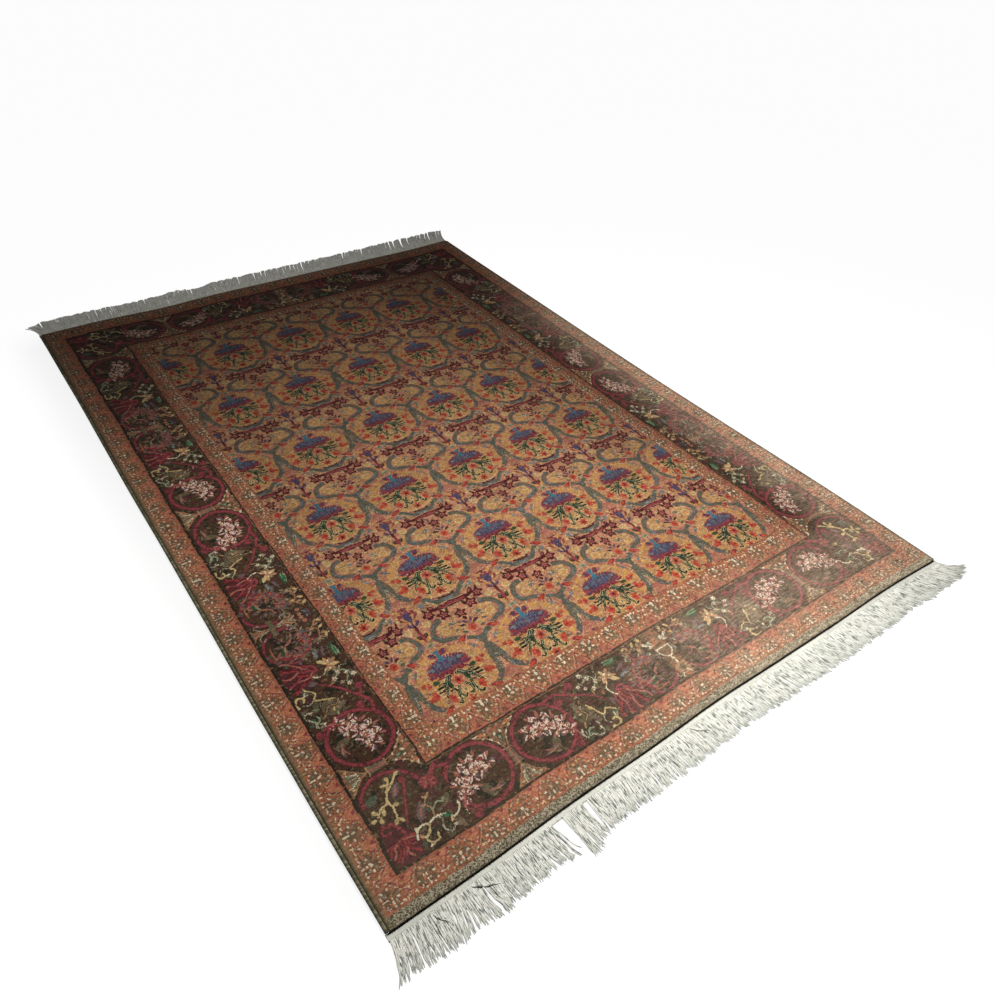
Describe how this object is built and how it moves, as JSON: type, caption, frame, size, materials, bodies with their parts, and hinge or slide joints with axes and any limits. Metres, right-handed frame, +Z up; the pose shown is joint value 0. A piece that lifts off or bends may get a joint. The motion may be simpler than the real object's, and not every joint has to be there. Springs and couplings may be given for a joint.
{
  "type": "hand-knotted rug",
  "caption": "Flat rectangular hand-knotted wool rug with overcast sides, flat-woven end bands and cotton fringes.",
  "frame": {"origin": "middle of the pile's flat underside, on the floor", "axes": "+Z up, +Y along the rug from the near end to the far end, +X across it to the right"},
  "size_m": [1.7737, 2.6195, 0.011],
  "materials": {
    "knotted_wool": "clipped wool pile, matt with a soft sheen",
    "overcast_wool": "wound wool yarn, matt",
    "flat_woven_cotton": "weft-faced plain weave, matt",
    "fringe_cotton": "plied cotton warp yarn, matt"
  },
  "bodies": {
    "root": {"pile_body": "knotted_wool", "side_cord_left": "overcast_wool", "side_cord_right": "overcast_wool", "end_band_near": "flat_woven_cotton", "end_band_far": "flat_woven_cotton", "fringe_near": "fringe_cotton", "fringe_far": "fringe_cotton"}
  },
  "joints": []
}
